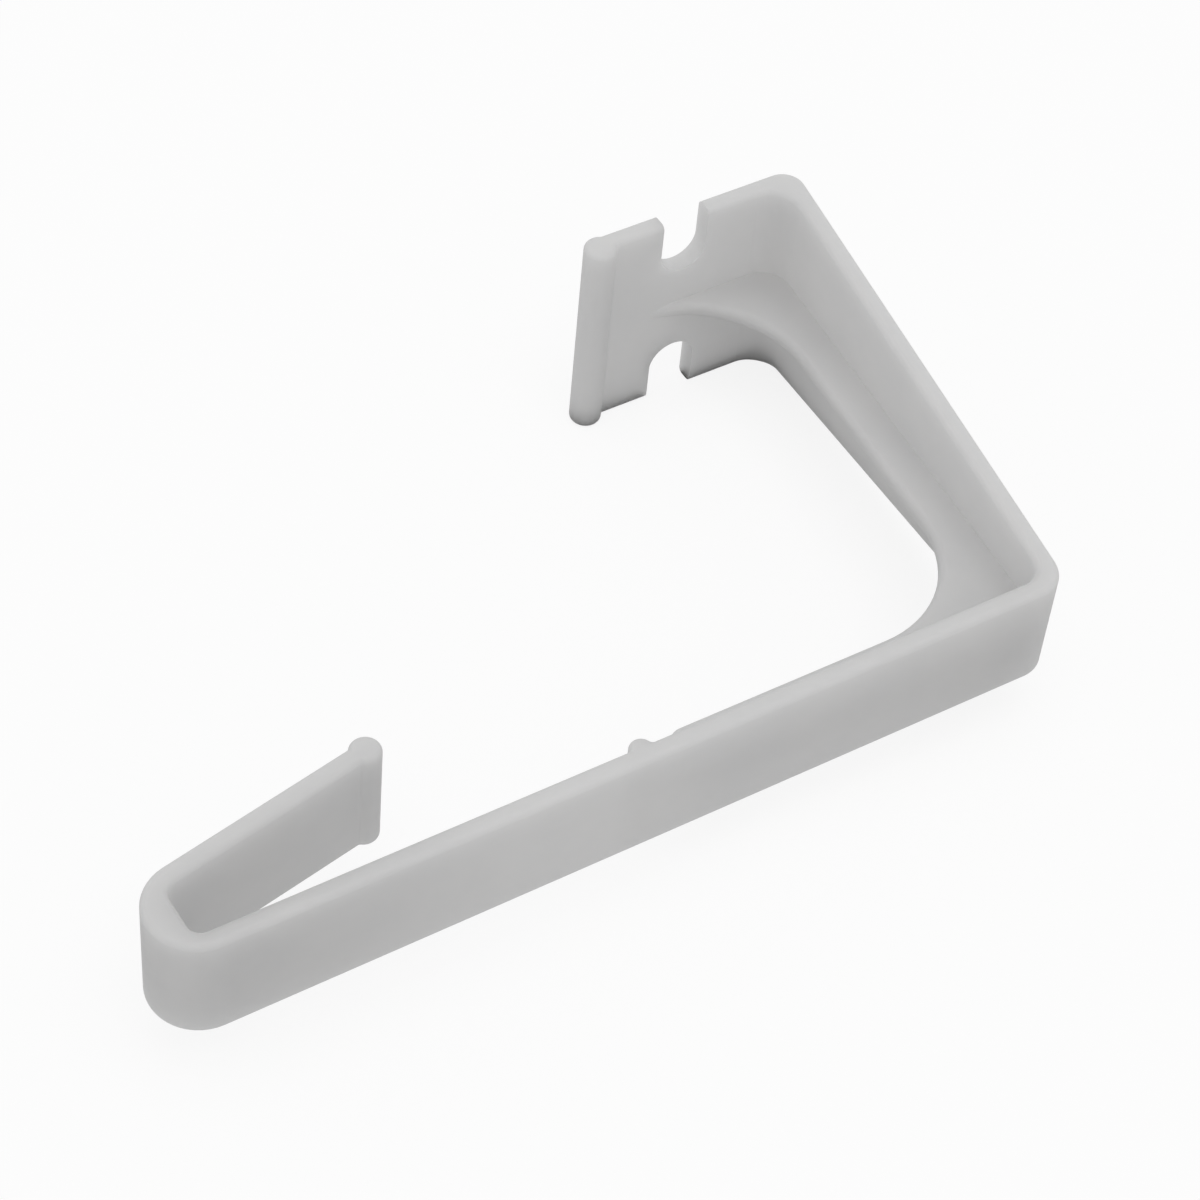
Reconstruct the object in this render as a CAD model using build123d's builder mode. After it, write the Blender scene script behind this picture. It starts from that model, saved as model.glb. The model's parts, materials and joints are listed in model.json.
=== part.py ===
from build123d import *
from math import cos, radians, sin, tan
import os

# Curtain hold-down clip, one plastic moulding. A flat strip is bent to a C in plan: a mounting
# flange, a leg, a long bar and a hook folded back over the end of the bar. The strip stands on
# edge, its width along +Z, mirrored about Z = 0. The origin is the centre of the mounting face,
# +Y points out of that face and +X runs along the bar from the hook to the leg.

# Strip
wall = 1.65                 # thickness of the strip
bar_width = 10.5            # width of the bar and the hook
flange_width = 20.3         # width of the flange; the leg widens from one to the other
stand_off = 46.9            # mounting face to the outer face of the bar
clip_length = 78.8          # end of the hook to the outer corner of the bar
leg_lean = 4.1              # degrees that the leg leans outwards
edge_radius = 0.5           # rounding of its edges all round
taper_blend = 6.0           # radius where the widening of the leg starts and ends
taper_clear = 0.1           # inner faces of the bar and the flange to the start of that radius

# Bends
bar_corner_outer = 2.8      # bar to leg
bar_corner_inner = 2.0
flange_corner_outer = 1.95  # leg to flange
flange_corner_inner = 2.6

# Hook
hook_radius = 4.15          # outside of the round end
hook_angle = 11.3           # degrees that the arm opens from the bar
arm_length = 18.3           # end of the round to the centre of the arm's bead
hook_end_wall = 2.6         # thickness of the end of the hook
hook_corner_inner = 1.1     # corners at the bottom of the gap

# Beads
bead_blend = 0.35           # hollow where a bead meets the strip
arm_bead_radius = 1.3
bar_bead_radius = 1.0
bar_bead_sink = 0.15        # depth of its centre under the inner face
bar_bead_from_end = 39.8    # end of the hook to its centre
flange_bead_radius = 1.4
flange_bead_sink = 1.2      # depth of its centre under the mounting face

# Flange
flange_length = 19.9        # outer corner of the leg to the centre of the flange's bead
notch_from_corner = 11.65   # outer corner of the leg to the line of the notches
notch_width = 4.45          # each notch has parallel sides and a round root
notch_depth = 5.75          # edge of the flange to the bottom of the root

# Rib on the middle plane, inside the C from the flange to the bead on the bar
rib_thickness = 1.5
rib_height = 3.25           # how far it stands off the bar and the leg
rib_edge_radius = 0.6
rib_radius = 10.0           # hollows between the leg and the bar, and the leg and the flange
rib_bar_end = 37.0          # outer corner of the bar to the end of the rib
rib_end_angle = 45.0        # degrees between the end of the rib and the bar
rib_end_radius = 1.5
rib_bite = 0.1              # how far its run-outs sink into the strip
rib_run_out = 0.3           # straight piece between its hollow and the end on the flange

clear = 1.0                 # how far the side view reaches past the strip

# Places in plan
lean = tan(radians(leg_lean))
bar_outer = -stand_off
bar_inner = bar_outer + wall
flange_inner = -wall
corner_x = notch_from_corner - stand_off * lean
leg_wall_x = wall / cos(radians(leg_lean))
rib_leg_x = (wall + rib_height) / cos(radians(leg_lean))
hook_end_x = corner_x - clip_length
bead_x = hook_end_x + bar_bead_from_end
flange_end_x = notch_from_corner - flange_length
bend_x = corner_x - leg_wall_x - bar_corner_inner

# How steeply the leg widens, and where its edges turn off those of the bar and the flange
taper_slope = (flange_width - bar_width) / 2 / (flange_inner - bar_inner)
taper_turn = taper_clear + taper_blend * taper_slope / 2

# The arm of the hook leaves the round end along this direction
arm_along = Vector(cos(radians(hook_angle)), sin(radians(hook_angle)))
arm_out = Vector(-arm_along.Y, arm_along.X)
hook_centre = Vector(hook_end_x + hook_radius, bar_outer + hook_radius)
arm_start = hook_centre + arm_out * hook_radius
arm_end = arm_start + arm_along * arm_length
arm_end_inner = arm_end - arm_out * wall
arm_bead = arm_end - arm_out * (wall / 2)
hook_far = hook_centre - Vector(hook_radius, 0)
bar_start = hook_centre - Vector(0, hook_radius)

# Centre and radius of each bead
beads = (
    (arm_bead, arm_bead_radius),
    (Vector(bead_x, bar_inner - bar_bead_sink), bar_bead_radius),
    (Vector(flange_end_x, -flange_bead_sink), flange_bead_radius),
)

# Bottom of the gap between the arm and the bar
gap_x = hook_end_x + hook_end_wall
gap_top = arm_end_inner.Y - (arm_end_inner.X - gap_x) * tan(radians(hook_angle))

# The free edge of the rib, and its back inside the strip
rib_toe_x = corner_x - rib_bar_end
rib_top = bar_inner + rib_height
rib_slope_x = rib_toe_x + rib_height / tan(radians(rib_end_angle))
rib_flange_y = flange_inner + rib_bite
rib_hollow = rib_radius * tan(radians(90 + leg_lean) / 2)
bar_middle = bar_inner - wall / 2
flange_middle = -wall / 2


def leg_x(y, inwards):
    """Place along X, at the depth y, of a line that lies inwards of the leg's outer face."""
    return notch_from_corner + y * lean - inwards


def off_edge(point):
    """Distance in plan from a point to the free edge of the rib."""
    return rib_edge.distance_to(Vector(point.X, point.Y))


def at_bead(corner):
    """Whether a corner of the plan is one where a bead meets the strip."""
    place = Vector(corner.X, corner.Y)
    return any(abs((place - centre).length - radius) < 0.01 for centre, radius in beads)


# Where the rib's hollow on the flange has its corner, and where the rib ends
rib_corner = Vector(leg_x(rib_flange_y, rib_leg_x), rib_flange_y)
rib_end = rib_corner - Vector(rib_hollow + rib_run_out, 0)

# Side view: as wide as the bar at the bar, as wide as the flange at the flange
with BuildPart() as width:
    with BuildSketch(Plane.YZ.offset(bend_x)) as side_view:
        with BuildLine():
            upper = FilletPolyline(
                (bar_outer - clear, bar_width / 2),
                (bar_inner + taper_turn, bar_width / 2),
                (flange_inner - taper_turn, flange_width / 2),
                (clear, flange_width / 2),
                radius=taper_blend,
            )
            mirror(upper, about=Plane.XZ)
            Line(upper @ 0, (bar_outer - clear, -bar_width / 2))
            Line(upper @ 1, (clear, -flange_width / 2))
        make_face()
    extrude(amount=notch_from_corner + clear - bend_x)
    with BuildSketch() as bar_side:
        with Locations((bend_x, bar_outer - clear)):
            Rectangle(clip_length, stand_off / 2, align=(Align.MAX, Align.MIN))
    extrude(amount=bar_width / 2, both=True)
    with BuildSketch() as flange_side:
        with Locations((bend_x, clear)):
            Rectangle(flange_length, clear + wall + flange_bead_radius, align=Align.MAX)
    extrude(amount=flange_width / 2, both=True)

with BuildPart() as rib:
    with BuildSketch() as rib_plan:
        with BuildLine():
            rib_edge = FilletPolyline(
                (rib_toe_x, bar_inner - rib_bite),
                (rib_slope_x, rib_top),
                (leg_x(rib_top, rib_leg_x), rib_top),
                rib_corner,
                rib_end,
                radius=(rib_end_radius, rib_radius, rib_radius),
            )
            Polyline(
                rib_edge @ 0,
                (rib_toe_x, bar_middle),
                (leg_x(bar_middle, leg_wall_x / 2), bar_middle),
                (leg_x(flange_middle, leg_wall_x / 2), flange_middle),
                (rib_end.X, flange_middle),
                rib_edge @ 1,
            )
        make_face()
    extrude(amount=rib_thickness / 2, both=True)
    long_edges = rib.faces().filter_by(Axis.Z).edges()
    free_edges = long_edges.filter_by(lambda side: off_edge(side @ 0.5) < rib_bite)
    fillet(free_edges, radius=rib_edge_radius)

with BuildPart() as clip:
    with BuildSketch() as plan:
        # Bar, leg and flange
        with BuildLine():
            outside = FilletPolyline(
                bar_start,
                (corner_x, bar_outer),
                (notch_from_corner, 0),
                (flange_end_x, 0),
                radius=(bar_corner_outer, flange_corner_outer),
            )
            inside = FilletPolyline(
                (bar_start.X, bar_inner),
                (leg_x(bar_inner, leg_wall_x), bar_inner),
                (leg_x(flange_inner, leg_wall_x), flange_inner),
                (flange_end_x, flange_inner),
                radius=(bar_corner_inner, flange_corner_inner),
            )
            Line(outside @ 0, inside @ 0)
            Line(outside @ 1, inside @ 1)
        make_face()

        # Hook, with the gap left open between its arm and the bar
        with BuildLine():
            ThreePointArc(bar_start, hook_far, arm_start)
            Line(arm_start, arm_end)
            Line(arm_end, arm_end_inner)
            gap = FilletPolyline(
                arm_end_inner,
                (gap_x, gap_top),
                (gap_x, bar_inner),
                (arm_end_inner.X, bar_inner),
                radius=hook_corner_inner,
            )
            Line(gap @ 1, (arm_end_inner.X, bar_outer))
            Line((arm_end_inner.X, bar_outer), bar_start)
        make_face()

        # Beads at the end of the arm, on the bar and at the end of the flange
        for centre, radius in beads:
            with Locations(centre):
                Circle(radius)
        fillet(plan.vertices().filter_by(at_bead), radius=bead_blend)
    extrude(amount=flange_width / 2, both=True)
    add(width.part, mode=Mode.INTERSECT)

    # Rounded edges all round the strip, above and below
    level = clip.faces().filter_by(lambda face: abs(face.normal_at().Z) > 0.9)
    upright = clip.faces().filter_by(lambda face: abs(face.normal_at().Z) < 0.1)
    fillet(level.edges() & upright.edges(), radius=edge_radius)

    # Two notches open at the edges of the flange, for its screws
    with BuildSketch(Plane.XZ) as notch_plan:
        with Locations((0, flange_width / 2 - notch_depth + notch_width / 2)):
            Circle(notch_width / 2)
            Rectangle(notch_width, notch_depth, align=(Align.CENTER, Align.MIN))
        mirror(about=Plane.XZ)
    extrude(amount=2 * wall, both=True, mode=Mode.SUBTRACT)
    add(rib.part)

clip.part.label = "clip"
os.makedirs("parts", exist_ok=True)
export_step(clip.part, "parts/clip.step")
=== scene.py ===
"""Finish, studio and camera for a moulded plastic curtain hold-down clip.

The clip is one solid, loaded as it was modelled. This script dresses it in milky, slightly
translucent moulded plastic, lays it on a white studio floor and looks at it from above the
open side of its hook. All lengths are in metres, in the clip's own frame: +X runs along the
bar from the hook to the leg, +Y out of the mounting face and +Z along the width of the strip.
"""

import json
import logging
import math
from dataclasses import dataclass, field
from enum import Enum

import bpy
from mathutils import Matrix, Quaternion, Vector

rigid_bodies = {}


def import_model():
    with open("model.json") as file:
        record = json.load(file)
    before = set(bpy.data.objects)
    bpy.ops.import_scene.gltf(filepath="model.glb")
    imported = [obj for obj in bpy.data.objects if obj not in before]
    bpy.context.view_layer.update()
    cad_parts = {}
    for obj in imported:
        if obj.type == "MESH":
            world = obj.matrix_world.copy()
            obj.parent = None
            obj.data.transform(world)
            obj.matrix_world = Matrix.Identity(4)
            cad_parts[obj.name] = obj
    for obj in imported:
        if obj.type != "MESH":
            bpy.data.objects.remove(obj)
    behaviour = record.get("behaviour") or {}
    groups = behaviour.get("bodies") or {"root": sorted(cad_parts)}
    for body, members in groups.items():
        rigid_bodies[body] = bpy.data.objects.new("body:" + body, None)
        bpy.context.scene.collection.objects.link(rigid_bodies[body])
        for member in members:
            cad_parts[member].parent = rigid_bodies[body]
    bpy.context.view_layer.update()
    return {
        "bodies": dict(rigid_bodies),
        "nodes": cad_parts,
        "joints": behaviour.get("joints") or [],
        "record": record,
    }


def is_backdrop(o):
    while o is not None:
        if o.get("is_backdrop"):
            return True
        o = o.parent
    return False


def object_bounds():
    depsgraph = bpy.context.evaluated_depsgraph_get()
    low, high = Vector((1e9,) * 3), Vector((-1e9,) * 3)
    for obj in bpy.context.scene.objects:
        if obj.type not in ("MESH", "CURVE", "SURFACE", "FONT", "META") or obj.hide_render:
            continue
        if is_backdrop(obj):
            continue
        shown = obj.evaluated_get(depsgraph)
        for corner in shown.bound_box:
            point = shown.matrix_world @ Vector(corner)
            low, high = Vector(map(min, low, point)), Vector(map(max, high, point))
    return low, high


MILLIMETRE = 0.001
WHITE = (1.0, 1.0, 1.0, 1.0)
WHITE_GLOW = 1.0  # strength at which a white light shows as plain white

logger = logging.getLogger("hold_down_clip")

Colour = tuple[float, float, float]
Span = tuple[float, float]
Socket = bpy.types.NodeSocket


def linear(colour: Colour) -> Colour:
    """Turn a screen colour into the linear colour that a shader takes, by the sRGB curve.

    Args:
        colour: Red, green and blue as they look on a screen, each from 0 to 1.

    Returns:
        The same colour in linear light.
    """
    red, green, blue = (
        channel / 12.92 if channel <= 0.04045 else ((channel + 0.055) / 1.055) ** 2.4
        for channel in colour
    )
    return red, green, blue


def direction(turn: float, height: float) -> Vector:
    """Point from the clip towards a lamp or a camera.

    Args:
        turn: Way round the clip, in degrees from -Y towards +X.
        height: Height above the horizon, in degrees.

    Returns:
        The direction, one unit long.
    """
    round_clip, above = math.radians(turn), math.radians(height)
    level = math.cos(above)
    return Vector((math.sin(round_clip) * level, -math.cos(round_clip) * level, math.sin(above)))


class NodeLayout:
    """Adds and joins shader nodes in one material or world."""

    def __init__(self, tree: bpy.types.NodeTree) -> None:
        """Start from an empty node tree.

        Args:
            tree: Node tree to fill, which is cleared first.
        """
        self.tree = tree
        self.tree.nodes.clear()

    def add(self, kind: str, **settings: object) -> bpy.types.Node:
        """Add one node.

        Args:
            kind: Blender's name for the node type.
            **settings: Properties of the node, and values of its inputs by their names
                with underscores for spaces.

        Returns:
            The new node.
        """
        node = self.tree.nodes.new(kind)
        for name, value in settings.items():
            label = name.replace("_", " ")
            if label in node.inputs:
                node.inputs[label].default_value = value
            else:
                setattr(node, name, value)
        return node

    def join(self, source: Socket, target: Socket) -> None:
        """Link an output to an input."""
        self.tree.links.new(source, target)


class Pattern(Enum):
    """How a layer of unevenness lies in the plastic, by its scale along X, Y and Z."""

    EVEN = (1.0, 1.0, 1.0)
    DRAWN_OUT = (0.18, 1.0, 2.4)


@dataclass(frozen=True)
class NoiseLayer:
    """One layer of unevenness in the plastic.

    Attributes:
        pattern: How its patches lie.
        size: Distance across one patch, in metres.
        detail: Number of finer octaves.
        roughness: Strength of the finer octaves.
    """

    pattern: Pattern
    size: float
    detail: float = 3.0
    roughness: float = 0.5

    def build(self, layout: NodeLayout, place: Socket) -> Socket:
        """Add the layer to a material.

        Args:
            layout: Node tree of the material.
            place: Output that gives the point on the surface, in metres.

        Returns:
            The output that holds the layer's value, about 0 to 1.
        """
        stretch = layout.add("ShaderNodeMapping", Scale=self.pattern.value)
        layout.join(place, stretch.inputs["Vector"])
        noise = layout.add(
            "ShaderNodeTexNoise",
            Scale=1.0 / self.size,
            Detail=self.detail,
            Roughness=self.roughness,
        )
        layout.join(stretch.outputs["Vector"], noise.inputs["Vector"])
        return noise.outputs["Fac"]


@dataclass(frozen=True)
class MilkyPlastic:
    """Natural, unpainted moulded plastic: off-white, satin and a little translucent.

    Attributes:
        pale: Screen colour of the paler patches.
        deep: Screen colour of the deeper patches.
        scatter: How much of the light enters the plastic, from 0 to 1.
        scatter_depth: How far light travels inside it, in metres.
        scatter_spread: Share of that distance for red, green and blue light.
        satin: Lowest and highest roughness of the skin.
        shine: Strength of the skin's reflections, 0.5 for a clean polished one.
        index: Index of refraction.
        grain_height: Height of the mould's grain, in metres.
        ripple_height: Height of the faint sinking and flow of the skin, in metres.
        cloud: Patches of the two tones.
        cloud_edges: Values of the cloud at which each tone is full.
        flow: Streaks in the skin, along the way that the melt flowed.
        flow_span: Values of the flow that take the lowest and highest roughness.
        grain: Grain that the mould leaves on the skin.
    """

    pale: Colour = (0.804, 0.801, 0.799)
    deep: Colour = (0.789, 0.788, 0.788)
    scatter: float = 1.0
    scatter_depth: float = 12.0 * MILLIMETRE
    scatter_spread: Colour = (1.0, 1.0, 1.0)
    satin: Span = (0.55, 0.68)
    shine: float = 0.2
    index: float = 1.49
    grain_height: float = 0.006 * MILLIMETRE
    ripple_height: float = 0.02 * MILLIMETRE
    cloud: NoiseLayer = NoiseLayer(Pattern.EVEN, 7.0 * MILLIMETRE)
    cloud_edges: Span = (0.35, 0.65)
    flow: NoiseLayer = NoiseLayer(Pattern.DRAWN_OUT, 2.6 * MILLIMETRE)
    flow_span: Span = (0.3, 0.7)
    grain: NoiseLayer = NoiseLayer(Pattern.EVEN, 0.16 * MILLIMETRE, detail=2.0)

    def build(self, name: str) -> bpy.types.Material:
        """Make the material.

        Args:
            name: Name of the material.

        Returns:
            The finished material.
        """
        material = bpy.data.materials.new(name)
        material.use_nodes = True
        layout = NodeLayout(material.node_tree)
        output = layout.add("ShaderNodeOutputMaterial")
        skin = layout.add(
            "ShaderNodeBsdfPrincipled",
            IOR=self.index,
            Specular_IOR_Level=self.shine,
            Subsurface_Weight=self.scatter,
            Subsurface_Radius=self.scatter_spread,
            Subsurface_Scale=self.scatter_depth,
        )
        layout.join(skin.outputs["BSDF"], output.inputs["Surface"])

        place = layout.add("ShaderNodeTexCoord").outputs["Object"]
        cloud = self.cloud.build(layout, place)
        flow = self.flow.build(layout, place)
        grain = self.grain.build(layout, place)
        self._tint(layout, cloud, skin.inputs["Base Color"])
        self._gloss(layout, flow, skin.inputs["Roughness"])
        self._relief(layout, flow, grain, skin.inputs["Normal"])
        return material

    def _tint(self, layout: NodeLayout, cloud: Socket, target: Socket) -> None:
        """Cloud the colour softly between its two tones.

        Args:
            layout: Node tree of the material.
            cloud: Output with the cloud's value.
            target: Input that takes the colour.
        """
        ramp = layout.add("ShaderNodeValToRGB")
        low, high = ramp.color_ramp.elements
        low.position, high.position = self.cloud_edges
        low.color = (*linear(self.deep), 1.0)
        high.color = (*linear(self.pale), 1.0)
        layout.join(cloud, ramp.inputs["Fac"])
        layout.join(ramp.outputs["Color"], target)

    def _gloss(self, layout: NodeLayout, flow: Socket, target: Socket) -> None:
        """Vary the roughness along the way that the melt flowed.

        Args:
            layout: Node tree of the material.
            flow: Output with the flow's value.
            target: Input that takes the roughness.
        """
        spread = layout.add(
            "ShaderNodeMapRange",
            From_Min=self.flow_span[0],
            From_Max=self.flow_span[1],
            To_Min=self.satin[0],
            To_Max=self.satin[1],
        )
        layout.join(flow, spread.inputs["Value"])
        layout.join(spread.outputs["Result"], target)

    def _relief(self, layout: NodeLayout, flow: Socket, grain: Socket, target: Socket) -> None:
        """Lay the mould's grain over the faint ripple of the skin.

        Args:
            layout: Node tree of the material.
            flow: Output with the flow's value.
            grain: Output with the grain's value.
            target: Input that takes the surface direction.
        """
        ripple = layout.add("ShaderNodeBump", Strength=1.0, Distance=self.ripple_height)
        layout.join(flow, ripple.inputs["Height"])
        fine = layout.add("ShaderNodeBump", Strength=1.0, Distance=self.grain_height)
        layout.join(grain, fine.inputs["Height"])
        layout.join(ripple.outputs["Normal"], fine.inputs["Normal"])
        layout.join(fine.outputs["Normal"], target)


@dataclass
class MouldedClip:
    """The clip itself, one moulding whose shape is already right.

    Attributes:
        frame: The loaded frame.
        node: Name of the clip's node.
        slot: Name of its material slot.
        finish: Plastic that it is moulded from.
    """

    frame: dict
    node: str = "clip"
    slot: str = "moulded_plastic"
    finish: MilkyPlastic = field(default_factory=MilkyPlastic)

    def dress(self) -> bpy.types.Object:
        """Give the clip its finish.

        Returns:
            The clip's object.
        """
        clip = self.frame["nodes"][self.node]
        plastic = self.finish.build(self.slot)
        for holder in clip.material_slots:
            holder.material = plastic
        return clip


@dataclass
class Studio:
    """White floor and soft light around the clip.

    Attributes:
        floor_half: Half the width of the floor, in metres.
        floor_glow: Share of the floor's whiteness that shadows leave alone, from 0 to 1.
        floor_lit: How much of the light the floor throws back on the clip, from 0 to 1.
        sky_light: Strength of the even light from all round.
        lamp_light: Strength of the lamp.
        lamp_spread: Apparent width of the lamp, in degrees.
        lamp_turn: Way round the clip to the lamp, in degrees from -Y towards +X.
        lamp_height: Height of the lamp, in degrees above the horizon.
    """

    floor_half: float = 3.0
    floor_glow: float = 0.85
    floor_lit: float = 0.70
    sky_light: float = 0.53
    lamp_light: float = 1.0
    lamp_spread: float = 55.0
    lamp_turn: float = -15.0
    lamp_height: float = 80.0

    def build(self, ground: float) -> bpy.types.Object:
        """Make the floor, the lamp and the sky.

        Args:
            ground: Height of the floor, in metres.

        Returns:
            The floor.
        """
        self._light_sky()
        self._hang_lamp()
        return self._lay_floor(ground)

    def _lay_floor(self, ground: float) -> bpy.types.Object:
        """Lay a plain floor that looks white and keeps the clip's shadow.

        Args:
            ground: Height of the floor, in metres.

        Returns:
            The floor.
        """
        half = self.floor_half
        plan = [(-half, -half), (half, -half), (half, half), (-half, half)]
        mesh = bpy.data.meshes.new("studio_floor")
        mesh.from_pydata([(x, y, ground) for x, y in plan], [], [(0, 1, 2, 3)])
        mesh.materials.append(self._floor_material())
        floor = bpy.data.objects.new("studio_floor", mesh)
        bpy.context.scene.collection.objects.link(floor)
        floor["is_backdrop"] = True
        return floor

    def _floor_material(self) -> bpy.types.Material:
        """Make matt paper that is white to the camera and duller to the clip.

        Returns:
            The floor's material.
        """
        material = bpy.data.materials.new("studio_paper")
        material.use_nodes = True
        layout = NodeLayout(material.node_tree)
        output = layout.add("ShaderNodeOutputMaterial")
        grey = (self.floor_lit, self.floor_lit, self.floor_lit, 1.0)
        dull = layout.add("ShaderNodeBsdfDiffuse", Color=grey)
        paper = layout.add("ShaderNodeBsdfDiffuse", Color=WHITE)
        glow = layout.add("ShaderNodeEmission", Color=WHITE, Strength=WHITE_GLOW)
        white = layout.add("ShaderNodeMixShader", Fac=self.floor_glow)
        layout.join(paper.outputs["BSDF"], white.inputs[1])
        layout.join(glow.outputs["Emission"], white.inputs[2])
        choice = layout.add("ShaderNodeMixShader")
        layout.join(self._seen_directly(layout), choice.inputs["Fac"])
        layout.join(dull.outputs["BSDF"], choice.inputs[1])
        layout.join(white.outputs["Shader"], choice.inputs[2])
        layout.join(choice.outputs["Shader"], output.inputs["Surface"])
        return material

    def _seen_directly(self, layout: NodeLayout) -> Socket:
        """Add a switch that is 1 for rays from the camera and rays mirrored or let through.

        Args:
            layout: Node tree to add it to.

        Returns:
            The output of the switch.
        """
        path = layout.add("ShaderNodeLightPath")
        gloss = layout.add("ShaderNodeMath", operation="MAXIMUM")
        clear = layout.add("ShaderNodeMath", operation="MAXIMUM")
        layout.join(path.outputs["Is Camera Ray"], gloss.inputs[0])
        layout.join(path.outputs["Is Glossy Ray"], gloss.inputs[1])
        layout.join(gloss.outputs["Value"], clear.inputs[0])
        layout.join(path.outputs["Is Transmission Ray"], clear.inputs[1])
        return clear.outputs["Value"]

    def _light_sky(self) -> None:
        """Fill the world with even light, and show it as white."""
        world = bpy.data.worlds.new("studio_sky")
        world.use_nodes = True
        layout = NodeLayout(world.node_tree)
        output = layout.add("ShaderNodeOutputWorld")
        sky = layout.add("ShaderNodeBackground", Color=WHITE)
        level = layout.add("ShaderNodeMapRange", To_Min=self.sky_light, To_Max=WHITE_GLOW)
        layout.join(self._seen_directly(layout), level.inputs["Value"])
        layout.join(level.outputs["Result"], sky.inputs["Strength"])
        layout.join(sky.outputs["Background"], output.inputs["Surface"])
        bpy.context.scene.world = world

    def _hang_lamp(self) -> None:
        """Hang one very wide lamp almost straight above the clip."""
        lamp = bpy.data.lights.new("wide_softbox", "SUN")
        lamp.energy = self.lamp_light
        lamp.angle = math.radians(self.lamp_spread)
        holder = bpy.data.objects.new("wide_softbox", lamp)
        towards_lamp = direction(self.lamp_turn, self.lamp_height)
        holder.rotation_mode = "QUATERNION"
        holder.rotation_quaternion = towards_lamp.to_track_quat("Z", "Y")
        bpy.context.scene.collection.objects.link(holder)


@dataclass
class PhotoCamera:
    """Camera at the angle from which the clip was photographed.

    Attributes:
        turn: Way round the clip, in degrees from -Y towards +X.
        height: Height above the horizon, in degrees.
        roll: Tilt of the frame, in degrees, counterclockwise as the camera tips.
        distance: Lens to the point looked at, in metres.
        aim: Point on the clip's middle plane at the centre of the frame.
        lens: Focal length on a sensor 36 mm wide, in millimetres.
        nearest: Distance from which things show, in metres.
        farthest: Distance up to which things show, in metres.
    """

    turn: float = -35.36
    height: float = 48.31
    roll: float = 5.96
    distance: float = 0.27862
    aim: Vector = field(default_factory=lambda: Vector((-23.28, -27.58, 0.0)) * MILLIMETRE)
    lens: float = 105.0
    nearest: float = 0.01
    farthest: float = 20.0

    def build(self) -> bpy.types.Object:
        """Place the camera and make it the scene's own.

        Returns:
            The camera.
        """
        data = bpy.data.cameras.new("photo_camera")
        data.lens = self.lens
        data.clip_start = self.nearest
        data.clip_end = self.farthest
        camera = bpy.data.objects.new("photo_camera", data)
        back = direction(self.turn, self.height)
        camera.location = self.aim + back * self.distance
        camera.rotation_mode = "QUATERNION"
        level = (-back).to_track_quat("-Z", "Y")
        camera.rotation_quaternion = level @ Quaternion((0.0, 0.0, 1.0), math.radians(self.roll))
        bpy.context.scene.collection.objects.link(camera)
        bpy.context.scene.camera = camera
        return camera


def main() -> None:
    """Load the clip, dress it, light it and look at it."""
    logging.basicConfig(level=logging.INFO, format="%(name)s: %(message)s")
    bpy.context.scene.view_settings.view_transform = "Standard"

    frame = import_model()

    clip = MouldedClip(frame).dress()
    logger.info("clip dressed: %s, %d faces", clip.name, len(clip.data.polygons))

    lowest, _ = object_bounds()
    floor = Studio().build(ground=lowest.z)
    logger.info("studio built: %s at %.2f mm", floor.name, lowest.z / MILLIMETRE)

    camera = PhotoCamera().build()
    logger.info("camera placed: %s", camera.name)


if __name__ == "__main__":
    main()
